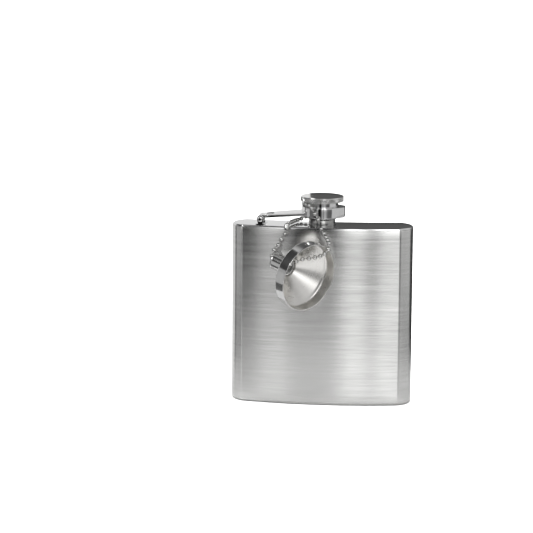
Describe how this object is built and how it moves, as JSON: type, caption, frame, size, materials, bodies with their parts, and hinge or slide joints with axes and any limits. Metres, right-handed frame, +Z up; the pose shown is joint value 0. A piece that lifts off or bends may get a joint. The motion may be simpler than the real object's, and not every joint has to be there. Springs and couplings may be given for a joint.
{
  "type": "hip flask",
  "caption": "Curved stainless hip flask with a captive screw cap on a hinged arm and a small filling funnel hung on a ball chain.",
  "frame": {"origin": "middle of the flat base that the flask stands on", "axes": "+Z up out of the neck, -Y out of the convex front, the cap arm's hinge on the -X side"},
  "size_m": [0.0938, 0.0572, 0.1084],
  "materials": {
    "brushed_steel": "horizontally brushed stainless sheet",
    "polished_steel": "mirror polished stainless",
    "satin_steel": "satin stainless",
    "funnel_steel": "spun satin stainless with a polished rim",
    "chain_steel": "bright plated ball chain",
    "silicone": "soft food-grade silicone"
  },
  "bodies": {
    "flask": {"body_shell": "brushed_steel", "top_plate": "polished_steel", "bottom_plate": "satin_steel", "neck": "polished_steel", "hinge_bracket": "polished_steel", "hinge_pin": "polished_steel"},
    "arm": {"captive_arm": "polished_steel", "arm_rivet": "polished_steel", "chain_upper_run": "chain_steel"},
    "cap_carrier": {"retaining_ring": "satin_steel"},
    "cap": {"cap_head": "polished_steel", "cap_skirt": "polished_steel", "cap_gasket": "silicone"},
    "chain_link": {"chain_connector": "chain_steel"},
    "funnel": {"chain_lower_run": "chain_steel", "funnel_cup": "funnel_steel", "funnel_spout": "funnel_steel"}
  },
  "joints": [
    {"name": "arm_hinge", "type": "hinge", "parent": "flask", "child": "arm", "pos_m": [-0.0314, -0.0015, 0.096], "axis": [0, -1, 0], "range_deg": [0, 175], "deforming": ["chain_upper_run", "chain_lower_run"]},
    {"name": "cap_lift", "type": "slide", "parent": "arm", "child": "cap_carrier", "axis": [0, 0, 1], "range_m": [0, 0.0015]},
    {"name": "cap_turn", "type": "hinge", "parent": "cap_carrier", "child": "cap", "pos_m": [0, -0.0015, 0.1], "axis": [0, 0, 1], "range_deg": [0, 360]},
    {"name": "chain_follow", "type": "hinge", "parent": "arm", "child": "chain_link", "pos_m": [-0.0083, -0.0139, 0.0935], "axis": [0, -1, 0], "range_deg": [-175, 0]},
    {"name": "funnel_swing", "type": "hinge", "parent": "chain_link", "child": "funnel", "pos_m": [-0.0083, -0.0139, 0.0935], "axis": [-1, 0, 0], "range_deg": [0, 60]}
  ],
  "couplings": [
    {"joint": "cap_lift", "follows": "cap_turn", "m_per_rad": 0.00023873},
    {"joint": "chain_follow", "follows": "arm_hinge", "ratio": -1}
  ]
}
